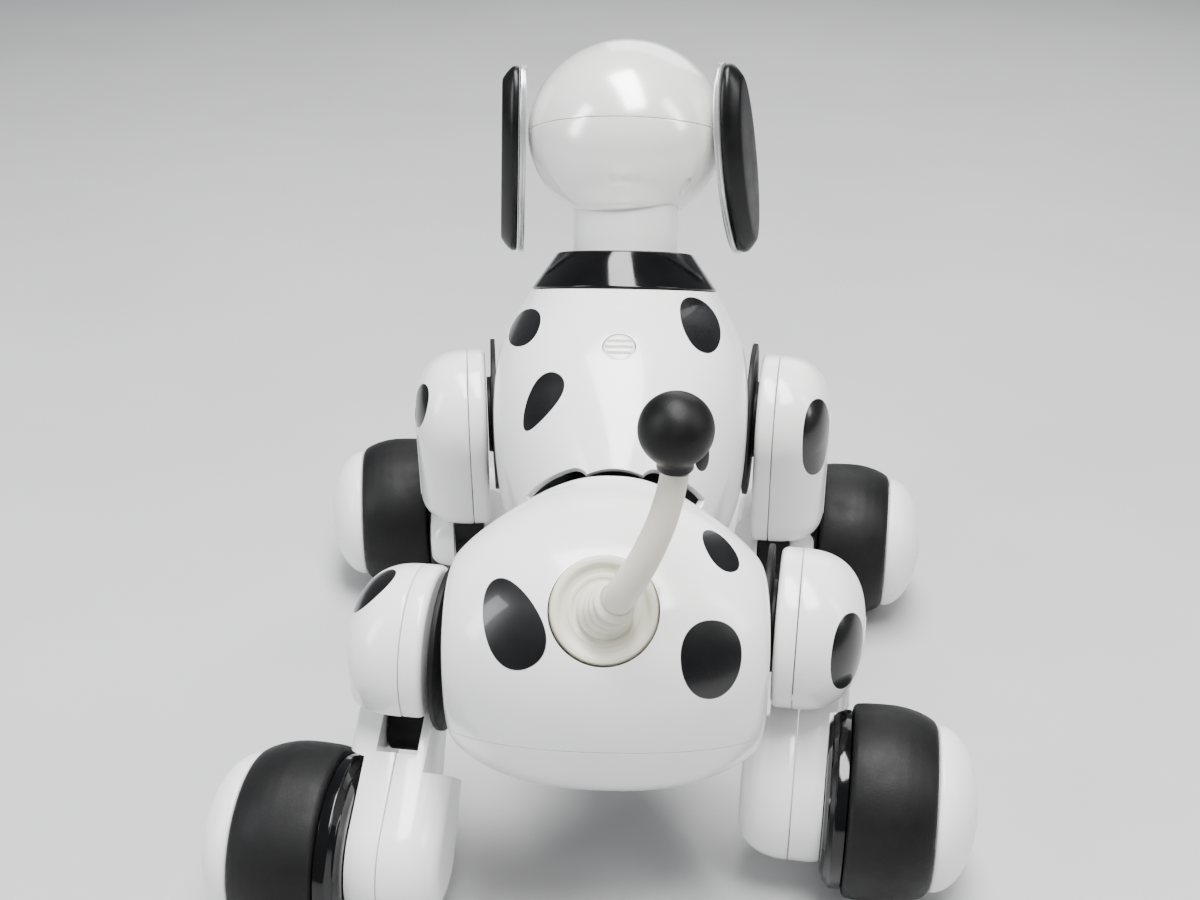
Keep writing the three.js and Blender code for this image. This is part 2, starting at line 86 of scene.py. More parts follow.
TAIL_PATH = [(0, 1.5, -1), (2, -15, 10), (14, -14, 26), (16.5, -11, 46)]
TAIL = dict(root=4.4, tip=3.3, ball=8.75)
POD = dict(inner=3.9, seam=9.9, dome=18.5, round=2.0)
FOOT = dict(middle=12, wheel_r=19, knee_r=10.5, arch=27.6)
LEG_SEAM = 0.13  # from the seam plane to each half of a pod or foot
WHEEL = dict(radius=28, hub=21)
FRONT = dict(upper=22.5, lower=14.5, drop=30, cut=43, thigh=55, shin=31, disc=26)
REAR = dict(upper=22.5, lower=19, drop=6, cut=14, thigh=25, shin=34.5, disc=23)


# ---------------------------------------------------------------- small maths
def cubic(points, s):
    """A point of a cubic Bezier curve."""
    w = np.array([(1 - s) ** 3, 3 * (1 - s) ** 2 * s, 3 * (1 - s) * s * s, s**3])
    return w @ np.array(points, float)


def spow(v, e):
    """A power that keeps its sign."""
    return np.sign(v) * np.abs(v) ** e


def side_flat(x):
    """Eases a width past the last 4 mm into the flat side."""
    over = np.abs(x) - (SIDE - 4)
    return np.where(over > 0, np.sign(x) * (SIDE - 4 * np.exp(-np.maximum(over, 0) / 4)), x)


def apply_matrix(m, points):
    a = np.array(m)
    return np.asarray(points, float) @ a[:3, :3].T + a[:3, 3]


def shift(x, y, z):
    return Matrix.Translation(Vector((x, y, z)))


SHIFT = shift(*ORIGIN)
NECK = SHIFT @ shift(*COLLAR_BASE) @ Matrix.Rotation(-NECK_LEAN, 4, "X")
NECK_AXIS = Vector((0, sin(NECK_LEAN), cos(NECK_LEAN)))
TURNED = SHIFT @ shift(*COLLAR_BASE) @ Matrix.Rotation(HEAD_TURN, 4, NECK_AXIS) @ shift(*-COLLAR_BASE)
UPPER_NECK = NECK @ shift(0, 0, NECK_SHAPE["bend"]) @ Matrix.Rotation(NECK_SHAPE["straighten"], 4, "X")
TAIL_FRAME = SHIFT @ shift(0, FLANGE["y"], FLANGE["z"])
AT_FLANGE = TAIL_FRAME @ Matrix.Rotation(pi / 2 - FLANGE["rise"], 4, "X")


# ---------------------------------------------------------------- mesh helpers
def mesh(name, points, faces, matrix=SHIFT, sharp=35):
    """A mesh object from points in millimetres, moved by matrix, with edges over an angle kept sharp."""
    data = bpy.data.meshes.new(name)
    data.from_pydata((apply_matrix(matrix, points) * MM).tolist(), [], faces)
    bm = bmesh.new()
    bm.from_mesh(data)
    bmesh.ops.remove_doubles(bm, verts=bm.verts, dist=2e-6)
    bmesh.ops.recalc_face_normals(bm, faces=bm.faces)
    bm.to_mesh(data)
    bm.free()
    obj = bpy.data.objects.new(name, data)
    bpy.context.scene.collection.objects.link(obj)
    smooth(obj, sharp)
    return obj


def smooth(obj, sharp=35):
    for polygon in obj.data.polygons:
        polygon.use_smooth = True
    obj.data.set_sharp_from_angle(angle=radians(sharp))


def directions(count):
    """Rings of unit vectors from +X to -X."""
    v = 2 * pi * np.arange(count) / count
    for u in np.linspace(0, pi, count // 2 + 1):
        yield np.column_stack((np.full(count, cos(u)), sin(u) * np.cos(v), sin(u) * np.sin(v)))


def rings(name, ring_list, matrix=SHIFT, cap=(True, True), sharp=35):
    """A skin over rings of equal length; a capped end closes in a fan of its own ring."""
    count = len(ring_list[0])
    points = np.vstack(ring_list)
    faces = []
    for i in range(len(ring_list) - 1):
        for j in range(count):
            k = (j + 1) % count
            a, b = i * count, (i + 1) * count
            faces.append((a + j, a + k, b + k, b + j))
    if cap[0]:
        faces.append(tuple(range(count)))
    if cap[1]:
        last = (len(ring_list) - 1) * count
        faces.append(tuple(last + j for j in range(count)))
    return mesh(name, points, faces, matrix, sharp)


def lathe(name, profile, axis="z", steps=96, matrix=SHIFT, sharp=35):
    """A turned form from (radius, along) points; points on the axis close it."""
    ring_list = []
    for r, h in profile:
        a = np.arange(steps) * 2 * pi / steps
        u, v, w = r * np.cos(a), r * np.sin(a), np.full(steps, float(h))
        ring_list.append(np.column_stack({"z": (u, v, w), "x": (w, u, v), "y": (u, w, -v)}[axis]))
    closed = profile[0] == profile[-1] and len(profile) > 2
    if closed:
        ring_list = ring_list[:-1]
    faces = []
    rows = len(ring_list)
    for i in range(rows if closed else rows - 1):
        for j in range(steps):
            k, n = (j + 1) % steps, (i + 1) % rows
            faces.append((i * steps + j, i * steps + k, n * steps + k, n * steps + j))
    return mesh(name, np.vstack(ring_list), faces, matrix, sharp)


def rounded(profile, radius=0.5, steps=4):
    """Rounds the corners of a profile that aren't on the axis."""
    out = [profile[0]]
    pts = [np.array(p, float) for p in profile]
    for a, b, c in zip(pts, pts[1:], pts[2:]):
        u, v = a - b, c - b
        lu, lv = np.linalg.norm(u), np.linalg.norm(v)
        r = min(radius, lu * 0.45, lv * 0.45)
        p, q = b + u / lu * r, b + v / lv * r
        for t in np.linspace(0, 1, steps + 1):
            out.append(tuple((1 - t) ** 2 * p + 2 * t * (1 - t) * b + t * t * q))
    out.append(profile[-1])
    return out


def settle(obj):
    """Applies the object's modifiers to its mesh."""
    bpy.context.view_layer.update()
    graph = bpy.context.evaluated_depsgraph_get()
    data = bpy.data.meshes.new_from_object(obj.evaluated_get(graph))
    obj.modifiers.clear()
    obj.data = data
    return obj


def carve(obj, cutter, mode="DIFFERENCE"):
    """Cuts, joins or intersects with a cutter, which is used up."""
    m = obj.modifiers.new("carve", "BOOLEAN")
    m.operation, m.object, m.solver = mode, cutter, "EXACT"
    settle(obj)
    bpy.data.objects.remove(cutter)
    return obj


def soften(obj, width=0.3, segments=2, angle=35):
    """Rounds the edges over an angle."""
    m = obj.modifiers.new("edge", "BEVEL")
    m.width, m.segments, m.limit_method, m.angle_limit = width * MM, segments, "ANGLE", radians(angle)
    m.harden_normals = False
    settle(obj)
    smooth(obj, 50)
    return obj


def thicken(obj, thickness=WALL):
    """Gives a skin its wall, inwards."""
    m = obj.modifiers.new("wall", "SOLIDIFY")
    m.thickness, m.offset = thickness * MM, -1
    m.use_even_offset = True
    return settle(obj)


def copy(obj, name):
    new = bpy.data.objects.new(name, obj.data.copy())
    bpy.context.scene.collection.objects.link(new)
    return new


def half(obj, name, seam, upper, gap=SEAM_GAP, matrix=SHIFT):
    """The part of a skin above or below a seam (y, z, tilt about X), as a new object."""
    y, z, tilt = seam
    normal = matrix.to_3x3() @ Vector((0, -sin(tilt), cos(tilt))) * (1 if upper else -1)
    point = matrix @ Vector((0, y, z)) + normal * gap / 2
    new = copy(obj, name)
    bm = bmesh.new()
    bm.from_mesh(new.data)
    geometry = bm.verts[:] + bm.edges[:] + bm.faces[:]
    bmesh.ops.bisect_plane(bm, geom=geometry, plane_co=point * MM, plane_no=normal, clear_inner=True, dist=1e-6)
    bm.to_mesh(new.data)
    bm.free()
    return new


def cylinder(radius, start, end, axis, matrix, steps=64):
    return lathe("cutter", [(0, start), (radius, start), (radius, end), (0, end)], axis, steps, matrix)


def ball(radii, centre, matrix=SHIFT, count=96, name="cutter"):
    """An ellipsoid with its poles on the X axis."""
    ring_list = [d * np.array(radii) + np.array(centre) for d in directions(count)]
    return rings(name, ring_list, matrix, (False, False))


def box_cutter(size, centre, matrix=SHIFT):
    x, y, z = (v / 2 for v in size)
    points = [(sx * x, sy * y, sz * z) for sx in (-1, 1) for sy in (-1, 1) for sz in (-1, 1)]
    faces = [(0, 1, 3, 2), (4, 6, 7, 5), (0, 4, 5, 1), (2, 3, 7, 6), (0, 2, 6, 4), (1, 5, 7, 3)]
    return mesh("cutter", np.array(points) + np.array(centre), faces, matrix)


def piece(obj, body, node, material):
    """Hangs a finished shape on its body in place of its CAD node."""
    obj.data.materials.clear()
    obj.data.materials.append(material)
    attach(obj, body)
    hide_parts(node)
    return obj


# ---------------------------------------------------------------- materials
SPOT_DEPTH = 16  # how far a spot reaches along the way it faces


class Shader:
    """A Principled material and short names for the nodes that feed it."""

    def __init__(self, name, roughness=0.4, metallic=0.0, coat=0.0, coat_roughness=0.1, specular=0.5):
        self.material = bpy.data.materials.new(name)
        self.material.use_nodes = True
        self.tree = self.material.node_tree
        self.shader = self.tree.nodes["Principled BSDF"]
        self.shader.inputs["Roughness"].default_value = roughness
        self.shader.inputs["Metallic"].default_value = metallic
        self.shader.inputs["Coat Weight"].default_value = coat
        self.shader.inputs["Coat Roughness"].default_value = coat_roughness
        self.shader.inputs["Specular IOR Level"].default_value = specular
        self.object = self.add("ShaderNodeTexCoord").outputs["Object"]

    def add(self, kind, **values):
        node = self.tree.nodes.new(kind)
        for key, value in values.items():
            setattr(node, key, value)
        return node

    def link(self, source, target):
        self.tree.links.new(source, target)

    def math(self, operation, a, b=None, clamp=False):
        node = self.add("ShaderNodeMath", operation=operation, use_clamp=clamp)
        for socket, value in zip(node.inputs, (a, b)):
            if value is None:
                continue
            if isinstance(value, (int, float)):
                socket.default_value = value
            else:
                self.link(value, socket)
        return node.outputs[0]

    def noise(self, scale, detail=3, rough=0.55):
        node = self.add("ShaderNodeTexNoise")
        node.inputs["Scale"].default_value = scale
        node.inputs["Detail"].default_value = detail
        node.inputs["Roughness"].default_value = rough
        self.link(self.object, node.inputs["Vector"])
        return node.outputs["Fac"]

    def ramp(self, value, low, high, out_low, out_high):
        node = self.add("ShaderNodeMapRange")
        node.inputs["From Min"].default_value = low
        node.inputs["From Max"].default_value = high
        node.inputs["To Min"].default_value = out_low
        node.inputs["To Max"].default_value = out_high
        self.link(value, node.inputs["Value"])
        return node.outputs["Result"]

    def mix(self, factor, a, b):
        node = self.add("ShaderNodeMix", data_type="RGBA")
        self.link(factor, node.inputs["Factor"])
        for socket, value in ((node.inputs[6], a), (node.inputs[7], b)):
            if isinstance(value, tuple):
                socket.default_value = (*value, 1)
            else:
                self.link(value, socket)
        return node.outputs[2]

    def bump(self, height, strength, distance=0.0002):
        node = self.add("ShaderNodeBump")
        node.inputs["Strength"].default_value = strength
        node.inputs["Distance"].default_value = distance
        self.link(height, node.inputs["Height"])
        self.link(node.outputs["Normal"], self.shader.inputs["Normal"])

    def spot(self, at, size, tilt=0.0, taper=0.0, facing=(0, 0, 1)):
        """1 inside an egg-shaped patch round a point, seen along facing, its long side turned by tilt."""
        place = self.add("ShaderNodeMapping", vector_type="TEXTURE")
        quat = Vector(facing).normalized().to_track_quat("Z", "Y")
        turn = quat.to_matrix() @ Matrix.Rotation(tilt, 3, "Z")
        place.inputs["Location"].default_value = tuple(v * MM for v in at)
        place.inputs["Rotation"].default_value = turn.to_euler("XYZ")
        place.inputs["Scale"].default_value = (size[0] * MM, size[1] * MM, SPOT_DEPTH * MM)
        self.link(self.object, place.inputs["Vector"])
        split = self.add("ShaderNodeSeparateXYZ")
        self.link(place.outputs["Vector"], split.inputs["Vector"])
        x, y, z = split.outputs
        narrow = self.math("ADD", self.math("MULTIPLY", y, taper), 1.0)
        x = self.math("DIVIDE", x, narrow)
        flat = self.math("ADD", self.math("POWER", self.math("ABSOLUTE", x), 2.15),
                         self.math("POWER", self.math("ABSOLUTE", y), 2.15))
        inside = self.ramp(flat, 0.985, 1.03, 1.0, 0.0)
        near = self.math("LESS_THAN", self.math("ABSOLUTE", z), 1.0)
        return self.math("MULTIPLY", inside, near, clamp=True)


def gloss_white(name, spots=(), base=(0.91, 0.91, 0.90), grey=(0.87, 0.87, 0.855)):
    """Glossy white plastic with faint scuffs, black where a spot lies."""
    s = Shader(name, roughness=0.2, coat=0.35, coat_roughness=0.06)
    tone = s.ramp(s.noise(35, 4), 0.35, 0.7, 0.0, 1.0)
    colour = s.mix(tone, base, grey)
    scuff = s.ramp(s.noise(420, 6, 0.7), 0.7, 0.82, 0.0, 0.35)
    colour = s.mix(scuff, colour, (0.78, 0.77, 0.75))
    rough = s.ramp(s.noise(60, 5), 0.3, 0.75, 0.15, 0.27)
    if spots:
        mask = None
        for spot in spots:
            m = s.spot(**spot)
            mask = m if mask is None else s.math("MAXIMUM", mask, m)
        shade = s.ramp(s.noise(90, 5), 0.4, 0.7, 0.0, 1.0)
        black = s.mix(shade, (0.0025, 0.0025, 0.0027), (0.005, 0.005, 0.0052))
        colour = s.mix(mask, colour, black)
        rough = s.math("ADD", rough, s.math("MULTIPLY", mask, 0.08))
    s.link(colour, s.shader.inputs["Base Color"])
    s.link(rough, s.shader.inputs["Roughness"])
    s.bump(s.noise(900, 2), 0.05)
    return s.material


def plastic(name, dark, light, roughness, spread=0.08, grain=700, grain_strength=0.15, coat=0.0, metallic=0.0,
            specular=0.5):
    """Plain moulded plastic: two close tones, uneven gloss and a fine grain."""
    s = Shader(name, roughness=roughness, coat=coat, metallic=metallic, specular=specular)
    s.link(s.mix(s.ramp(s.noise(70, 5), 0.35, 0.7, 0.0, 1.0), dark, light), s.shader.inputs["Base Color"])
    gloss = s.ramp(s.noise(140, 5), 0.3, 0.75, roughness - spread, roughness + spread)
    s.link(gloss, s.shader.inputs["Roughness"])
    s.bump(s.noise(grain, 3), grain_strength)
    return s.material


def pearl():
    """Pearl-white gloss of the head: fine flakes under a clear coat."""
    s = Shader("pearl_white", roughness=0.2, coat=0.6, coat_roughness=0.05)
    flakes = s.ramp(s.noise(2600, 2, 0.8), 0.45, 0.62, 0.0, 1.0)
    broad = s.ramp(s.noise(26, 3), 0.3, 0.7, 0.0, 1.0)
    colour = s.mix(flakes, (0.80, 0.795, 0.775), (0.90, 0.895, 0.875))
    colour = s.mix(broad, colour, (0.86, 0.855, 0.835))
    s.shader.inputs["Metallic"].default_value = 0.18
    s.link(colour, s.shader.inputs["Base Color"])
    s.link(s.ramp(s.noise(80, 4), 0.3, 0.75, 0.16, 0.26), s.shader.inputs["Roughness"])
    s.bump(s.noise(2600, 2), 0.03)
    return s.material


def rubber(name, dark, light, roughness, dust):
    """Moulded rubber: fine matt grain and pale dust in its pores."""
    s = Shader(name, roughness=roughness, specular=0.22)
    colour = s.mix(s.ramp(s.noise(45, 5), 0.35, 0.7, 0.0, 1.0), dark, light)
    specks = s.ramp(s.noise(520, 6, 0.75), 0.62, 0.8, 0.0, 0.5)
    colour = s.mix(specks, colour, dust)
    s.link(colour, s.shader.inputs["Base Color"])
    s.link(s.ramp(s.noise(110, 5), 0.3, 0.75, roughness - 0.1, roughness + 0.1), s.shader.inputs["Roughness"])
    s.bump(s.noise(1500, 4, 0.7), 0.35)
    return s.material


GLOSS_BLACK = plastic("gloss_black", (0.002, 0.002, 0.0022), (0.004, 0.004, 0.0042), 0.1, 0.04, 500, 0.03,
                      coat=0.15, specular=0.35)
MATT_BLACK = plastic("matt_black", (0.0035, 0.0035, 0.0037), (0.007, 0.007, 0.0072), 0.5, 0.1, 1400, 0.2,
                     specular=0.22)
EAR_BLACK = plastic("ear_black", (0.003, 0.003, 0.0032), (0.006, 0.006, 0.0062), 0.33, 0.06, 1200, 0.08,
                    specular=0.3)
DARK_GREY = plastic("waist_grey", (0.012, 0.012, 0.0125), (0.02, 0.02, 0.0205), 0.55, 0.1, 1100, 0.25)
SILVER = plastic("ear_silver", (0.62, 0.625, 0.63), (0.70, 0.705, 0.71), 0.24, 0.04, 900, 0.01, metallic=0.7)
# Painted shade: the rear knees' fender is white plastic, coloured grey here for the shade it lies in
KNEE_PAINTED_SHADE_GREY = plastic("knee_painted_shade_grey", (0.30, 0.30, 0.29), (0.38, 0.38, 0.37), 0.45, 0.08, 900, 0.08)
BOARD = plastic("board_green", (0.02, 0.10, 0.05), (0.03, 0.14, 0.07), 0.45)
TYRE = rubber("tyre_rubber", (0.004, 0.004, 0.0043), (0.008, 0.008, 0.0083), 0.55, (0.014, 0.014, 0.0138))
CREAM = rubber("tail_rubber", (0.72, 0.70, 0.58), (0.80, 0.78, 0.67), 0.38, (0.62, 0.60, 0.49))
PEARL = pearl()


# ---------------------------------------------------------------- white plastic and its spots
# Each spot: centre on the skin, the way it faces, half width and half height, lean and swelling towards its top
def patch(at, facing, size, tilt=0.0, taper=0.0):
    return dict(at=np.array(at) + ORIGIN, facing=facing, size=size, tilt=tilt, taper=taper)


CHEST_WHITE = gloss_white("chest_white", [
    patch((-31.4, 32.3, 130.3), (-0.04, -0.86, 0.51), (6.0, 7.0), -0.06, 0.05),
    patch((-23.6, 0.1, 119.6), (-0.26, -0.78, 0.57), (5.3, 10.0), -0.36, 0.32),
    patch((25.6, 29.4, 133.8), (0.28, -0.64, 0.72), (7.4, 12.2), -0.4, 0.12),
    patch((25.9, -8.2, 106.6), (0.39, -0.79, 0.46), (3.2, 4.8), -0.25),
])
RUMP_WHITE = gloss_white("rump_white", [
    patch((-22.9, -103.6, 109.8), (-0.09, -0.78, 0.61), (7.2, 12.0), 0.5, -0.24),
    patch((29.0, -82.7, 119.3), (0.20, -0.57, 0.80), (4.1, 6.9), 0.16, -0.1),
    patch((26.8, -107.2, 102.6), (0.15, -0.84, 0.52), (7.9, 9.7), -0.1, 0.08),
])
POD_WHITE = gloss_white("pod_white", [
    patch((-69.0, 39.3, 98.0), (-0.32, -0.83, 0.46), (4.9, 7.5), -0.1),
    patch((66.2, 34.5, 91.0), (0.30, -0.89, 0.34), (6.8, 13.0), -0.05),
    patch((-64.8, -70.8, 98.2), (-0.15, -0.56, 0.81), (4.4, 8.0), -0.5),
    patch((65.5, -76.8, 84.1), (0.25, -0.86, 0.44), (6.1, 10.6), -0.16),
])
PLAIN_WHITE = gloss_white("plain_white")
CAP_WHITE = plastic("cap_white", (0.87, 0.87, 0.86), (0.91, 0.91, 0.90), 0.32, 0.06, 900, 0.06)


# ---------------------------------------------------------------- body skins
def body_ring(top, belly, half_width, power, s, count=192, shrink=0.0, waist_in=0.0):
    """One superellipse ring between the back rail and the belly rail, drawn in by shrink and near the waist."""
    t, b = cubic(top, s), cubic(belly, s)
    a, e = cubic(half_width, s) - waist_in * exp(-(((s - 0.2) / 0.13) ** 2)), 2 / cubic(power, s)
    angle = 2 * pi * (np.arange(count) + 0.5) / count
    tall = np.linalg.norm(t - b) / 2
    up = spow(np.sin(angle), e) * max(0, 1 - shrink / max(tall, 1e-6))
    x = side_flat(a * spow(np.cos(angle), e)) * max(0, 1 - shrink / max(a, 1e-6))
    yz = ((t + b)[None, :] + (t - b)[None, :] * up[:, None]) / 2
    return np.column_stack((x, yz))


LEG = {
    "front_right": dict(side=1, y=54, z=88, toe=7, thigh=-5, sizes=FRONT),
    "front_left": dict(side=-1, y=54, z=88, toe=7, thigh=9, sizes=FRONT),
    "rear_right": dict(side=1, y=-57, z=79, toe=7, thigh=24, sizes=REAR),
    "rear_left": dict(side=-1, y=-69, z=77, toe=-6, thigh=-14, sizes=REAR),
}


def leg_frames(spec):
    """Matrices of a leg's hip, thigh, foot and wheel, each with its own axle along X."""
    side, sizes = spec["side"], spec["sizes"]
    thigh = radians(spec["thigh"])
    hip = (
        SHIFT
        @ shift(side * SIDE, spec["y"], spec["z"])
        @ Matrix.Rotation(-side * radians(spec["toe"]), 4, "Z")
        @ Matrix.Diagonal((side, 1, 1, 1))
    )
    knee_height = spec["z"] - sizes["thigh"] * cos(thigh)
    lean = acos((knee_height - WHEEL["radius"]) / sizes["shin"]) * (1 if sizes is FRONT else -1)
    at_thigh = hip @ Matrix.Rotation(thigh, 4, "X")
    foot = (
        at_thigh
        @ shift(0, 0, -sizes["thigh"])
        @ Matrix.Rotation(lean - thigh, 4, "X")
        @ shift(0, 0, -sizes["shin"])
        @ Matrix.Rotation(pi, 4, "X")
    )
    return hip, at_thigh, foot, foot @ Matrix.Rotation(-lean - pi, 4, "X")


for spec in LEG.values():
    spec["hip"], spec["pod"], spec["foot"], spec["wheel"] = leg_frames(spec)


def seat_hips(obj, names):
    """Round recesses for the hip discs."""
    for name in names:
        spec = LEG[name]
        carve(obj, cylinder(spec["sizes"]["disc"] + 0.6, 0, 30, "x", spec["hip"]))
    return obj


# ---------------------------------------------------------------- chest
VENT = SHIFT @ shift(0, 12.5, 132) @ Matrix.Rotation(radians(28), 4, "X")
chest_skin = rings(
    "chest_skin",
    [body_ring(CHEST_TOP, CHEST_BELLY, CHEST_HALF, CHEST_POWER, s) for s in np.linspace(0, 1, 90)],
    cap=(False, False),
)
for name, upper in (("chest_upper", True), ("chest_lower", False)):
    shell = thicken(half(chest_skin, name, CHEST_SEAM, upper))
    if upper:
        carve(shell, cylinder(COLLAR_HOLE, -30, 20, "z", NECK))
        for x in (-13, 13):
            tilt = SHIFT @ shift(x, -27, 108) @ Matrix.Rotation(radians(30), 4, "X")
            carve(shell, cylinder(5.5, -20, 20, "z", tilt))
            carve(shell, box_cutter((26, 11, 40), (x, 0, 0), tilt))
        carve(shell, cylinder(5.2, -6, 6, "z", VENT))
    seat_hips(shell, ("front_right", "front_left"))
    soften(shell, 0.35, 3)
    piece(shell, "body", f"{name}_shell", CHEST_WHITE)
bpy.data.objects.remove(chest_skin)

vent = lathe("vent_disc", rounded([(0, -2), (4.9, -2), (4.9, 0.9), (3.9, 1.15), (0, 1.25)], 0.35), matrix=VENT)
for y in (-2.3, 0, 2.3):
    slot = box_cutter((1.88 * (4.7**2 - y * y) ** 0.5, 1.05, 2.4), (0, y, 1.2), VENT)
    carve(vent, slot)
soften(vent, 0.15, 2)
piece(vent, "body", "back_vent", PLAIN_WHITE)

collar_profile = [(19, 0.3), (31, 0.3), (31.3, 0.9), (23.1, 12.5), (22.6, 12.8), (19.2, 12.8), (19, 12.5),
                  (19, 0.3)]
collar = lathe("collar_cone", rounded(collar_profile, 0.5), steps=160, matrix=NECK, sharp=50)
piece(collar, "body", "neck_collar", GLOSS_BLACK)

# ---------------------------------------------------------------- waist
w = WAIST
waist_profile = [(w["outer"] - w["wall"], w["start"]), (w["outer"], w["start"])]
for y in np.linspace(-46, -14, 60):
    waist_profile.append((w["outer"] + 0.45 * max(0, cos((y + 32) / 3.2 * pi)) ** 3 - 0.45, y))
waist_profile += [(w["outer"], w["end"]), (w["outer"] - w["wall"], w["end"]), waist_profile[0]]
oval = SHIFT @ shift(0, 0, w["z"]) @ Matrix.Diagonal((1, 1, w["height"], 1))
sleeve = lathe("waist_tube", waist_profile, "y", 128, oval, 40)
piece(sleeve, "body", "waist_sleeve", DARK_GREY)

# ---------------------------------------------------------------- rump
# Two shallow steps run round its front end
STEPS = [(0.0, 1.9), (0.02, 1.7), (0.023, 1.15), (0.05, 1.0), (0.053, 0.45), (0.082, 0.35), (0.085, 0.0)]
STEPS += [(s, 0.0) for s in np.linspace(0.1, 0.999, 90)]
rump_rings = [
    body_ring(RUMP_TOP, RUMP_BELLY, RUMP_HALF, RUMP_POWER, s, shrink=d, waist_in=RUMP_WAIST_IN) for s, d in STEPS
]
rump_skin = rings("rump_skin", rump_rings, cap=(False, True))
rump_lower = thicken(half(rump_skin, "rump_lower", RUMP_SEAM, False))
rump_upper = thicken(half(rump_skin, "rump_upper", RUMP_SEAM, True))
bpy.data.objects.remove(rump_skin)
hatch = (0, -76, 36)
door = carve(copy(rump_lower, "battery_hatch"), box_cutter((38, 30, 40), hatch), "INTERSECT")
carve(rump_lower, box_cutter((38.6, 30.6, 40), hatch))
carve(rump_upper, cylinder(FLANGE["radius"] + 0.12, -1.2, 30, "z", AT_FLANGE))
carve(rump_upper, cylinder(FLANGE["bore"] + 0.6, -12, 30, "z", AT_FLANGE))
for shell in (rump_upper, rump_lower):
    seat_hips(shell, ("rear_right", "rear_left"))
for shell, node in ((rump_upper, "rump_upper_shell"), (rump_lower, "rump_lower_shell"), (door, "battery_door")):
    soften(shell, 0.35, 3)
    piece(shell, "body", node, RUMP_WHITE)


# ---------------------------------------------------------------- head
def ellipsoid_reach(rays, at, size, tilt=0.0):
    """How far each ray from the head's centre runs to the far side of an ellipsoid, or to its nearest pass."""
    turn = np.array(Matrix.Rotation(tilt, 3, "X"))
    d, m = rays @ turn, at @ turn
    a, b, c = ((d / size) ** 2).sum(1), (d * m / size**2).sum(1), ((m / size) ** 2).sum() - 1
    return np.maximum((b + np.sqrt(np.maximum(b * b - a * c, 0))) / a, 0)


def soft_max(a, b, softness):
    return (a + b + np.sqrt((a - b) ** 2 + softness**2)) / 2


def skull_form(count=192):
    """Skull, jaw and neck root as one skin with soft hollows between them, poles on the X axis."""
    root_at, root_size = np.array([0.6, -15.3, -14.0]), np.array([18.5, 18.5, 14])
    ring_list = []
    for d in directions(count):
        skull = 1 / np.sqrt(((d / SKULL) ** 2).sum(1))
        r = soft_max(skull, ellipsoid_reach(d, MUZZLE["at"], MUZZLE["size"]), 2.5)
        root = ellipsoid_reach(d, root_at, root_size, NECK_SHAPE["straighten"] - NECK_LEAN)
        r = soft_max(r, root, 1.6) - 0.05
        ring_list.append(d * r[:, None] + HEAD)
    return rings("head_skin", ring_list, TURNED, (False, False))


NECK_HOLE = 17.68
VISOR_AT, VISOR_SIZE = HEAD + np.array([0, 20, 10]), np.array([23, 24, 12.0])
NOSE_AT, NOSE_SIZE = HEAD + np.array([0, 42.5, -9]), np.array([6, 4.5, 4.0])
head_skin = skull_form()
for name, upper in (("head_upper", True), ("head_lower", False)):
    new = half(head_skin, name, HEAD_SEAM, upper, 0.24, TURNED)
    thicken(new, HEAD_WALL)
    room = ball(VISOR_SIZE + 0.3, VISOR_AT, TURNED)
    carve(room, ball(MUZZLE["size"] + 0.4, HEAD + MUZZLE["at"], TURNED))
    carve(new, room)
    if not upper:
        carve(new, ball(NOSE_SIZE + 0.25, NOSE_AT, TURNED))
        carve(new, cylinder(NECK_HOLE, -20, 14, "z", NECK))
        carve(new, cylinder(NECK_HOLE, 0, 30, "z", UPPER_NECK))
        # Shallow hollows on both sides of the neck root
        for x, y, z, lean in ((-28.0, 73.5, 165.5, -20), (21.8, 67.4, 164.5, 20)):
            dent = TURNED @ shift(x, y, z) @ Matrix.Rotation(radians(lean), 4, "Y")
            carve(new, ball((1.9, 2.2, 4.6), (0, 0, 0), dent, 48))
    soften(new, 0.35, 3)
    piece(new, "head", f"{name}_shell", PEARL)
bpy.data.objects.remove(head_skin)

visor = ball(SKULL + 0.5, HEAD, TURNED, 160, "visor_window")
carve(visor, ball(VISOR_SIZE, VISOR_AT, TURNED), "INTERSECT")
carve(visor, ball(MUZZLE["size"] + 0.9, HEAD + MUZZLE["at"], TURNED))
carve(visor, ball(SKULL - 2, HEAD, TURNED))
soften(visor, 0.3, 2)
piece(visor, "head", "face_visor", GLOSS_BLACK)
nose = ball(NOSE_SIZE, NOSE_AT, TURNED, 64, "nose_button")
piece(nose, "head", "nose_tip", GLOSS_BLACK)

# The neck leans with the collar and straightens up towards the head
neck_rings = []
for h in np.linspace(-16, 44, 61):
    a = 2 * pi * np.arange(128) / 128
    share = min(max((h - 9) / 10, 0), 1)
    lift = max(h - NECK_SHAPE["bend"], 0) if share == 1 else (h - 9) * share / 2
    back = -lift * sin(NECK_SHAPE["straighten"])
    r = NECK_SHAPE["radius"]
    neck_rings.append(np.column_stack((r * np.cos(a), r * np.sin(a) + back, np.full(128, h))))
neck = rings("neck_column", neck_rings, NECK, sharp=60)
piece(neck, "head", "neck_tube", PLAIN_WHITE)


# ---------------------------------------------------------------- ears
def oval_slab(name, rows, matrix, count=128):
    """A thick oval plate: rows of (along x, inset from the full outline)."""
    a = 2 * pi * np.arange(count) / count
    ring_list = [
        np.column_stack((np.full(count, x), (EAR["half_y"] - d) * np.cos(a), (EAR["half_z"] - d) * np.sin(a)))
        for x, d in rows
    ]
    return rings(name, ring_list, matrix)


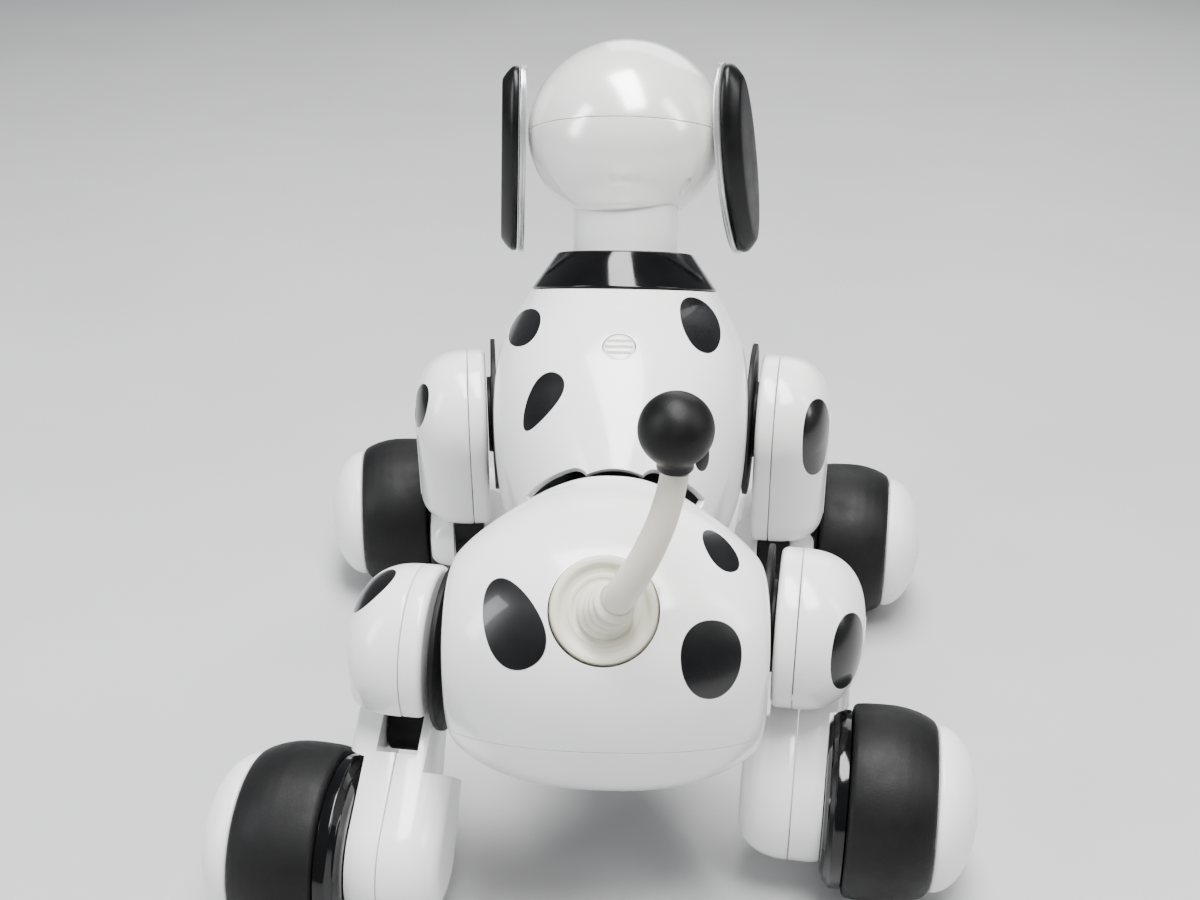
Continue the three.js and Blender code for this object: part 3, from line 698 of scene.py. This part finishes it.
for side, word in ((1, "right"), (-1, "left")):
    place = (
        TURNED
        @ shift(HEAD[0] + side * EAR["x"], HEAD[1] - EAR["back"], HEAD[2] - EAR["below"])
        @ Matrix.Rotation(-side * radians(EAR["splay"]), 4, "Z")
        @ Matrix.Rotation(-side * radians(EAR["flare"]), 4, "Y")
        @ Matrix.Diagonal((side, 1, 1, 1))
    )
    rim = [(0, 3), (0.05, 0.6), (0.2, 0.2), (0.45, 0.05), (0.75, 0.05), (0.95, 0.3), (1.1, 0.45), (1.25, 0.3),
           (1.45, 0.05), (1.8, 0.05), (2.05, 0.25), (2.15, 0.6), (2.2, 3)]
    rim_obj = oval_slab(f"ear_trim_{word}", rim, place)
    piece(rim_obj, f"ear_{word}", f"ear_rim_{word}", SILVER)
    pad = [(2.5, 1.6), (2.55, 1.1), (2.8, 0.7), (3.3, 0.55), (4.1, 0.6)]
    for t in np.linspace(0.1, 1, 12):
        pad.append((4.1 + 3.7 * t, 0.6 + 3.9 * t**1.5))
    pad += [(8.0, 4.9), (8.12, 5.6), (8.18, 6.6), (8.2, 10)]
    pad_obj = oval_slab(f"ear_cushion_{word}", pad, place)
    piece(pad_obj, f"ear_{word}", f"ear_pad_{word}", EAR_BLACK)


# ---------------------------------------------------------------- tail
def stem_radius(s):
    return TAIL["root"] + (TAIL["tip"] - TAIL["root"]) * s


def tube(name, radius, end, rows, count=64, cap=(True, True)):
    """A round section swept along the tail's path, its radius a function of the share of the way."""
    ring_list = []
    for s in np.linspace(0, end, rows):
        at = cubic(TAIL_PATH, s)
        along = cubic(TAIL_PATH, min(1, s + 0.01)) - cubic(TAIL_PATH, max(0, s - 0.01))
        along /= np.linalg.norm(along)
        across = np.array([1.0, 0, 0]) - along * along[0]
        across /= np.linalg.norm(across)
        other = np.cross(along, across)
        a = 2 * pi * np.arange(count) / count
        ring_list.append(at + radius(s) * (np.outer(np.cos(a), across) + np.outer(np.sin(a), other)))
    return rings(name, ring_list, TAIL_FRAME, cap)


cup = [(5.8, -0.9), (13.8, -0.9), (13.8, 2.2), (13.1, 3.0), (11.9, 3.0), (11.3, 2.5), (10.7, 1.6), (9.3, 1.6),
       (9.0, 1.9), (8.2, 1.9), (7.9, 1.6), (5.8, 1.6), (5.8, -0.9)]
flange = lathe("tail_cup", rounded(cup, 0.4), steps=128, matrix=AT_FLANGE, sharp=60)
piece(flange, "body", "tail_flange", CREAM)
stem = tube("tail_stalk", stem_radius, 1, 90)
piece(stem, "tail", "tail_stem", CREAM)
BOOT_END = 0.27


def boot_radius(s):
    """Wide on the flange, four rings on the way, tight on the stem at its end."""
    share = s / BOOT_END
    flare = 3.6 * exp(-share / 0.16) + 1.5 * (1 - share)
    ring = 0.85 * abs(sin(pi * (share - 0.16) / 0.2)) ** 0.7 if share > 0.16 else 0
    return stem_radius(s) + 0.12 + flare + ring * min(1, (1 - share) * 8)


boot = tube("tail_boot", boot_radius, BOOT_END, 150, cap=(False, False))
boot.data.materials.append(CREAM)
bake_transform(boot)

BALL_AT = TAIL_FRAME @ shift(*TAIL_PATH[3])
knob = []
for a in np.linspace(-pi / 2, pi / 2, 49):
    r, z = TAIL["ball"] * cos(a), TAIL["ball"] + 2 + TAIL["ball"] * sin(a)
    if z > 3.6:
        knob.append((max(r, 0), z))
knob = [(0, 0.9), (4.1, 0.9), (4.3, 1.2), (4.3, 2.4), (4.7, 3.0)] + knob
bulb = lathe("tail_bobble", knob, steps=96, matrix=BALL_AT, sharp=60)
piece(bulb, "tail", "tail_ball", MATT_BLACK)


# ---------------------------------------------------------------- legs
def two_circles(upper, lower, drop, x, shrink=0.0, factor=1.0, count=64):
    """Side outline of a pod or foot: the hull of two circles, the second one drop below the first."""
    lean = asin((upper - lower) / drop)
    ring = []
    for r, z, start, end in ((upper, 0, -lean, pi + lean), (lower, -drop, pi + lean, 2 * pi - lean)):
        a = np.linspace(start, end, count)
        rr = max((r - shrink) * factor, 0.01)
        ring.append(np.column_stack((np.full(count, x), rr * np.cos(a), z + rr * np.sin(a))))
    return np.vstack(ring)


def lip(x, inward, radius=0.4, steps=4):
    """Rows of (x, shrink) that round an edge ending at x; inward is the side the material lies on."""
    return [
        (x + inward * radius * (1 - cos(t)), radius * (1 - sin(t))) for t in np.linspace(0, pi / 2, steps + 1)
    ]


def pod_half(name, spec, outer):
    """One half of a thigh pod, cut off below and slotted for the foot."""
    sizes = spec["sizes"]
    args = (sizes["upper"], sizes["lower"], sizes["drop"])
    seam, gap = POD["seam"], LEG_SEAM
    if outer:
        rows = [two_circles(*args, x, d) for x, d in lip(seam + gap, 1)]
        for s in np.sin(np.linspace(0.06, 1, 26) * pi / 2):
            rows.append(two_circles(*args, seam + POD["dome"] * s, 0, max(0.02, (1 - s**2.6)) ** (1 / 2.6)))
    else:
        rows = [two_circles(*args, x, d) for x, d in lip(POD["inner"], 1, POD["round"], 8)]
        rows += [two_circles(*args, x, d) for x, d in reversed(lip(seam - gap, -1))]
    obj = rings(name, rows, spec["pod"])
    carve(obj, box_cutter((80, 120, 100), (0, 0, -50 - sizes["cut"]), spec["pod"]))
    carve(obj, box_cutter((11, 16.6, 20), (FOOT["middle"], 0, -sizes["cut"]), spec["pod"]))
    return soften(obj, 0.45, 3, 40)


def foot_half(name, spec, outer):
    """One half of a foot, with the wheel arch and axle hole outside and the knee's slot above."""
    args = (FOOT["wheel_r"], FOOT["knee_r"], spec["sizes"]["shin"])
    gap, mid = LEG_SEAM, FOOT["middle"]
    if outer:
        rows = [two_circles(*args, x, d) for x, d in lip(mid + gap, 1)]
        for t in np.linspace(0, 1, 18)[1:]:
            s = sin(t * pi / 2)
            rows.append(two_circles(*args, 17 + 9 * s, 0, 0.58 + 0.42 * max(0, 1 - s**2.2) ** (1 / 2.2)))
    else:
        rows = []
        for t in np.linspace(1, 0, 26)[:-1]:
            s = sin(t * pi / 2)
            rows.append(two_circles(*args, 11 - 14 * s, 0, 0.42 + 0.58 * max(0, 1 - s**2.2) ** (1 / 2.2)))
        rows += [two_circles(*args, x, d) for x, d in reversed(lip(mid - gap, -1))]
    obj = rings(name, rows, spec["foot"])
    if outer:
        carve(obj, cylinder(FOOT["arch"], WHEEL["hub"] - 0.3, 60, "x", spec["foot"], 128))
        carve(obj, cylinder(3.3, 12.6, 40, "x", spec["foot"], 48))
    shin = spec["sizes"]["shin"]
    carve(obj, box_cutter((11.4, 60, 60), (mid, 0, -shin - 30 + 8.5), spec["foot"]))
    if not outer:
        carve(obj, box_cutter((20, 60, 60), (POD["inner"] - 10, 0, -shin - 30 + 13), spec["foot"]))
    return soften(obj, 0.45, 3, 40)


for name, spec in LEG.items():
    sizes = spec["sizes"]
    disc = [(4.4, 0.3), (sizes["disc"], 0.3), (sizes["disc"], 1.9), (13, 2.3), (13, 3.6), (4.4, 3.6), (4.4, 0.3)]
    washer = lathe(f"hip_washer_{name}", rounded(disc, 0.4), "x", 128, spec["hip"], 60)
    piece(washer, "body", f"hip_disc_{name}", MATT_BLACK)

    inner = pod_half(f"pod_inner_{name}", spec, False)
    outer = pod_half(f"pod_outer_{name}", spec, True)
    for obj, word in ((inner, "inner"), (outer, "outer")):
        piece(obj, f"thigh_{name}", f"thigh_{word}_{name}", POD_WHITE)

    knee = sizes["thigh"]
    eye_profile = rounded([(0, 6.8), (6.5, 6.8), (6.5, 17.2), (0, 17.2)], 0.8)
    eye = lathe(f"knee_hinge_{name}", eye_profile, "x", 64, spec["pod"] @ shift(0, 0, -knee), 60)
    tongue = box_cutter((10.4, 11, knee - sizes["cut"] + 9), (12, 0, -(knee + sizes["cut"] - 9) / 2), spec["pod"])
    carve(eye, tongue, "UNION")
    soften(eye, 0.4, 2, 50)
    piece(eye, f"thigh_{name}", f"knee_block_{name}", MATT_BLACK)

    # A fender plate over each rear knee, white plastic given a grey colour as painted shade
    if sizes is REAR:
        a = np.linspace(radians(22), radians(46), 25)
        arc = [(-r * sin(t), r * cos(t) - knee) for r, sweep in ((11.9, a), (10.9, a[::-1])) for t in sweep]
        fender = rings(f"knee_fender_{name}", [[(x, y, z) for y, z in arc] for x in (4.8, 19.2)], spec["pod"])
        soften(fender, 0.25, 2, 40)
        fender.data.materials.append(KNEE_PAINTED_SHADE_GREY)
        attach(fender, f"thigh_{name}")

    for outer_half, word in ((False, "inner"), (True, "outer")):
        obj = foot_half(f"shoe_{word}_{name}", spec, outer_half)
        piece(obj, f"foot_{name}", f"foot_{word}_{name}", PLAIN_WHITE)

    hub = [(0, 13), (3, 13), (3, 21), (20.6, 21), (21.4, 21.2), (23.2, 22.3), (23.35, 22.05), (23.6, 22.6),
           (25.3, 23.8), (25.5, 24.2), (25.5, 27.2), (22, 27.2), (22, 45.5), (0, 45.5)]
    hub_obj = lathe(f"wheel_core_{name}", rounded(hub, 0.3, 3), "x", 128, spec["wheel"], 60)
    piece(hub_obj, f"wheel_{name}", f"wheel_hub_{name}", GLOSS_BLACK)
    tread = [(22.3, 27.5), (25.6, 27.5), (26.9, 27.9), (27.45, 28.8), (27.75, 31), (27.95, 35), (28, 39.5),
             (27.6, 43), (26.7, 46.5), (25.6, 49.2), (24.6, 50.8), (23.6, 51.5), (22.3, 51.5), (22.3, 27.5)]
    tyre = lathe(f"wheel_tread_{name}", rounded(tread, 1.0, 5), "x", 160, spec["wheel"], 60)
    piece(tyre, f"wheel_{name}", f"tyre_{name}", TYRE)
    crown = [(0, 45.8), (21.6, 45.8), (21.6, 51.8), (23, 51.8), (23.4, 52.2)]
    crown += [(23.4 * cos(t), 52.4 + 12.1 * sin(t)) for t in np.linspace(0.06, pi / 2, 30)]
    crown[-1] = (0, 64.5)
    cap_obj = lathe(f"wheel_dome_{name}", crown, "x", 128, spec["wheel"], 60)
    piece(cap_obj, f"wheel_{name}", f"wheel_cap_{name}", CAP_WHITE)

# ---------------------------------------------------------------- parts inside
for node, material in (("circuit_board", BOARD), ("battery_pack", DARK_GREY)):
    obj = frame["nodes"][node]
    obj.data.materials.clear()
    obj.data.materials.append(material)

# ---------------------------------------------------------------- floor, light and camera
bpy.ops.mesh.primitive_plane_add(size=12, location=(0, 0, 0))
floor = bpy.context.object
floor.name = "floor"
cloth = Shader("pale_floor", roughness=0.85, specular=0.2)
tone = cloth.ramp(cloth.noise(6, 5), 0.35, 0.7, 0.0, 1.0)
cloth.link(cloth.mix(tone, (0.50, 0.50, 0.505), (0.54, 0.54, 0.545)), cloth.shader.inputs["Base Color"])
floor.data.materials.append(cloth.material)

world = bpy.data.worlds.new("studio")
bpy.context.scene.world = world
world.use_nodes = True
sky = world.node_tree.nodes["Background"]
sky.inputs["Color"].default_value = (0.9, 0.93, 1.0, 1)
sky.inputs["Strength"].default_value = 0.2


def area_light(name, location, target, size, power, colour=(1, 1, 1)):
    data = bpy.data.lights.new(name, "AREA")
    data.shape, data.size, data.size_y = "RECTANGLE", size[0], size[1]
    data.energy, data.color = power, colour
    lamp = bpy.data.objects.new(name, data)
    lamp.location = location
    lamp.rotation_euler = (Vector(target) - Vector(location)).to_track_quat("-Z", "Y").to_euler()
    bpy.context.scene.collection.objects.link(lamp)


area_light("overhead", (0.05, -0.15, 1.2), (0, -0.02, 0.1), (0.4, 1.0), 38)
area_light("left_window", (-1.1, -0.5, 0.8), (0, 0, 0.1), (0.3, 0.9), 11, (0.97, 0.985, 1.0))
area_light("right_window", (1.1, -0.3, 0.9), (0, 0, 0.1), (0.25, 0.9), 7, (1.0, 0.99, 0.97))
area_light("front_fill", (0.2, 1.1, 0.7), (0, 0, 0.1), (0.8, 0.6), 4)

camera_data = bpy.data.cameras.new("camera")
camera_data.lens, camera_data.sensor_width = 45, 36
camera_data.clip_start, camera_data.clip_end = 0.01, 50
camera = bpy.data.objects.new("camera", camera_data)
camera.location = (0.01331, -0.41444, 0.321)
camera.rotation_euler = (radians(62), 0, radians(2.5))
bpy.context.scene.collection.objects.link(camera)
bpy.context.scene.camera = camera
